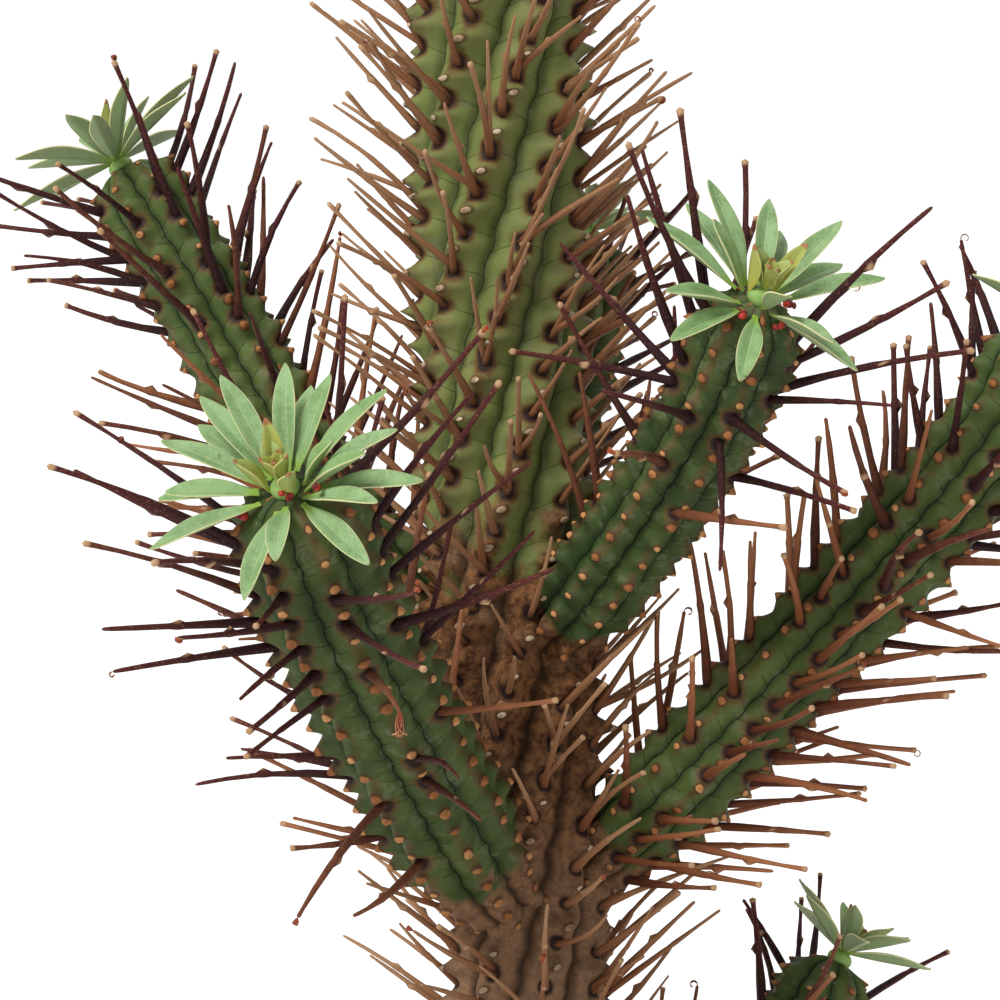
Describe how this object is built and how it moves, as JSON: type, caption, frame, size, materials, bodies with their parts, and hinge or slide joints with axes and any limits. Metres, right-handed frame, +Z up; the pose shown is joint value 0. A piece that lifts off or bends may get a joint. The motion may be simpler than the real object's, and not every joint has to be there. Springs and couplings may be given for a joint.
{
  "type": "potted euphorbia",
  "caption": "Upright ribbed succulent with long spines and side branches that end in rosettes of narrow leaves, growing in soil in a plain tapered clay pot.",
  "frame": {"origin": "centre of the pot's foot, on the surface it stands on", "axes": "+Z up along the main stem; the nearest branch leans towards -Y, the longest branch towards +X"},
  "size_m": [0.2963, 0.2351, 0.5127],
  "materials": {
    "fired_clay": "matte",
    "soil": "matte",
    "old_stem": "matte",
    "green_stem": "matte",
    "leaf": "satin"
  },
  "bodies": {
    "root": {"back_branch": "green_stem", "back_rosette": "leaf", "front_branch": "green_stem", "front_leaf_01": "leaf", "front_leaf_02": "leaf", "front_leaf_03": "leaf", "front_leaf_04": "leaf", "front_leaf_05": "leaf", "front_leaf_06": "leaf", "front_leaf_07": "leaf", "front_leaf_08": "leaf", "front_leaf_09": "leaf", "front_leaf_10": "leaf", "front_leaf_11": "leaf", "front_leaf_12": "leaf", "front_leaf_13": "leaf", "front_leaf_14": "leaf", "front_leaf_15": "leaf", "front_leaf_16": "leaf", "front_leaf_17": "leaf", "front_leaf_18": "leaf", "front_leaf_19": "leaf", "front_leaf_20": "leaf", "front_leaf_21": "leaf", "front_leaf_22": "leaf", "left_branch": "green_stem", "left_rosette": "leaf", "long_branch": "green_stem", "long_rosette": "leaf", "low_branch": "green_stem", "low_rosette": "leaf", "main_stem": "old_stem", "pot": "fired_clay", "right_branch": "green_stem", "right_leaf_01": "leaf", "right_leaf_02": "leaf", "right_leaf_03": "leaf", "right_leaf_04": "leaf", "right_leaf_05": "leaf", "right_leaf_06": "leaf", "right_leaf_07": "leaf", "right_leaf_08": "leaf", "right_leaf_09": "leaf", "right_leaf_10": "leaf", "right_leaf_11": "leaf", "right_leaf_12": "leaf", "right_leaf_13": "leaf", "right_leaf_14": "leaf", "right_leaf_15": "leaf", "right_leaf_16": "leaf", "right_leaf_17": "leaf", "soil": "soil", "top_rosette": "leaf"}
  },
  "joints": []
}
